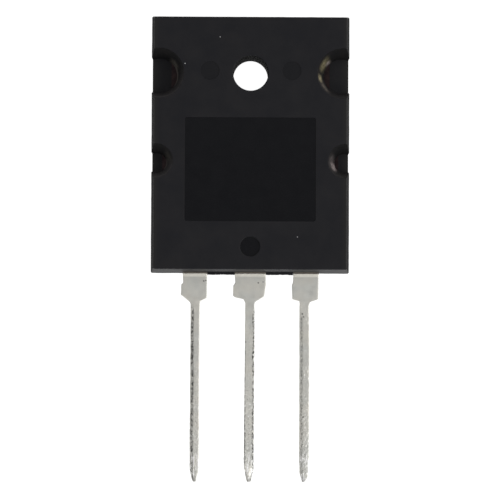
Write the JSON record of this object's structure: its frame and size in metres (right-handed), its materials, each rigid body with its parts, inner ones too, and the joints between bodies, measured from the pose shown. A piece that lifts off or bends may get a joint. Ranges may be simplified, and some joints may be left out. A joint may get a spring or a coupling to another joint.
{
  "type": "power transistor",
  "caption": "Large flat moulded power transistor with a screw hole, a copper header in its back and flat leads out of one short side.",
  "frame": {"origin": "centre of the screw hole, on the back face that sits on the heat sink", "axes": "+Z out of the front face, +Y away from the leads, which point to -Y"},
  "size_m": [0.02, 0.0469, 0.005],
  "materials": {
    "case_resin": "satin black moulding resin, with a polished panel on the front",
    "tinned_copper": "tinned copper, dull silver",
    "solder": "dull grey",
    "silicon": "dark metallic grey",
    "wire_aluminium": "bright drawn wire"
  },
  "bodies": {
    "root": {"molded_case": "case_resin", "collector_frame": "tinned_copper", "base_lead": "tinned_copper", "emitter_lead": "tinned_copper", "die_solder": "solder", "transistor_die": "silicon", "base_wire": "wire_aluminium", "emitter_wire_1": "wire_aluminium", "emitter_wire_2": "wire_aluminium"}
  },
  "joints": []
}
